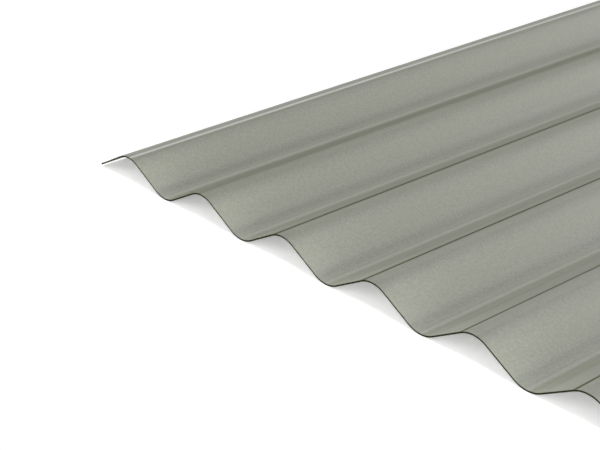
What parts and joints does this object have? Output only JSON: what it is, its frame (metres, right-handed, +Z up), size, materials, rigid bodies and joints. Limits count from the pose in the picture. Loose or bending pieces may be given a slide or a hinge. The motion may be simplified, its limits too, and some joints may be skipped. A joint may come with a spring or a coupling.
{
  "type": "corrugated metal sheet",
  "caption": "Rectangular painted steel roofing sheet, roll-formed into even rounded waves that run along its length, with plain cut ends and side edges shaped to lap over a neighbour.",
  "frame": {"origin": "centre of the sheet's footprint, on the plane that the undersides of its troughs rest on", "axes": "+Z up through the crests, +Y along the waves, +X across the waves from the overlapping side edge to the underlapping one"},
  "size_m": [0.8504, 1.8, 0.017],
  "materials": {
    "painted_steel": "semi-gloss grey-green coil coating, fine grained, dark raw cut edges"
  },
  "bodies": {
    "root": {"corrugated_sheet": "painted_steel"}
  },
  "joints": []
}
